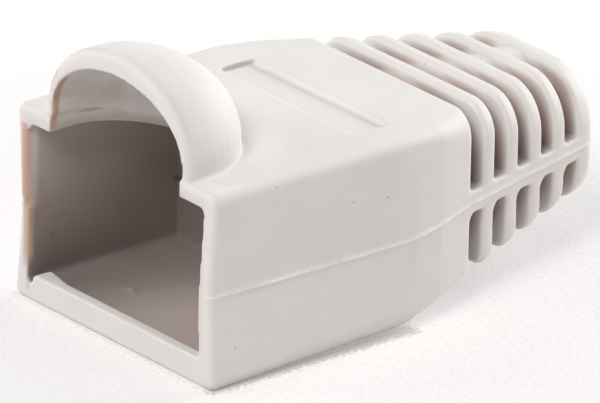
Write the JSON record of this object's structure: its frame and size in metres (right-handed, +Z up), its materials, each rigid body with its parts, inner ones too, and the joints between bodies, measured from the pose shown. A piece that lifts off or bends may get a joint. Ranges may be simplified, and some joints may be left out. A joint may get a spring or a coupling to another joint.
{
  "type": "rj45 strain relief boot",
  "caption": "One-piece moulded boot for a modular plug: a box body open at the front, a domed latch hood on top and a slotted, tapering tail with a round cable bore.",
  "frame": {"origin": "middle of the footprint: halfway along the boot and across it, on the plane of the flat underside", "axes": "+Y runs from the mouth to the tail, along the cable; +Z is up, away from the underside and towards the latch hood; +X is the right-hand side seen from the mouth"},
  "size_m": [0.0138, 0.024, 0.0135],
  "materials": {
    "soft_pvc": "fine matt, warm off-white"
  },
  "bodies": {
    "root": {"strain_relief_boot": "soft_pvc"}
  },
  "joints": []
}
